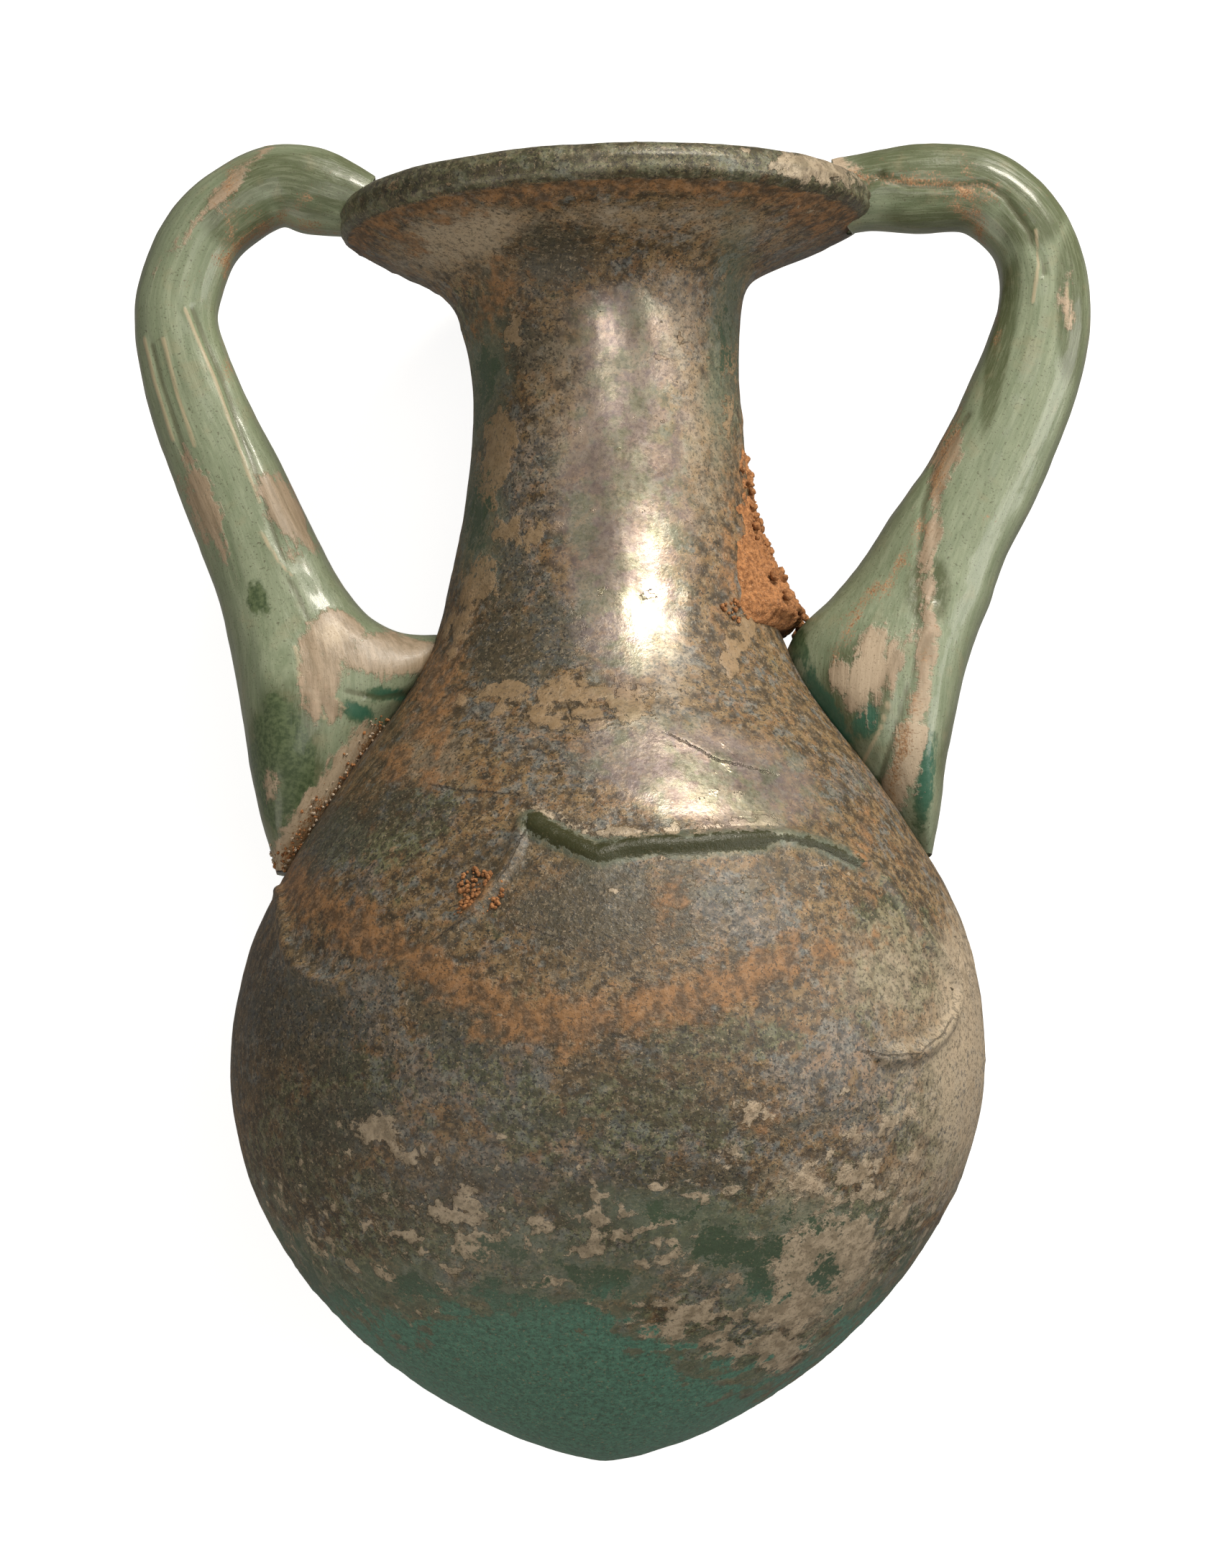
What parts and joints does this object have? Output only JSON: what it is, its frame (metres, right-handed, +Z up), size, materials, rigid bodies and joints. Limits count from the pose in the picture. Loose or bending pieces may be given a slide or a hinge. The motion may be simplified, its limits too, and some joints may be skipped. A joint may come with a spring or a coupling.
{
  "type": "two-handled glass flask",
  "caption": "Old blown glass flask with a flared folded rim, a heart-shaped body ending in a point, two applied handles and a wavy trailed thread; it lies on its back.",
  "frame": {"origin": "on the ground, under the middle of the flask's box as it lies on its back", "axes": "+Y from the pointed foot to the mouth, +X towards the handle on the right of the front, +Z up, out of the front"},
  "size_m": [0.0916, 0.1242, 0.0702],
  "materials": {
    "weathered_glass": "weathered, iridescent film with flakes, pits and brown stains",
    "handle_glass": "pale green translucent glass with ribs, glossy, dirt in its grooves",
    "trail_glass": "dark olive glass thread, satin",
    "earth": "crumbly orange-brown soil, matt"
  },
  "bodies": {
    "root": {"vessel": "weathered_glass", "handle_left": "handle_glass", "handle_right": "handle_glass", "trail": "trail_glass", "soil_crust": "earth"}
  },
  "joints": []
}
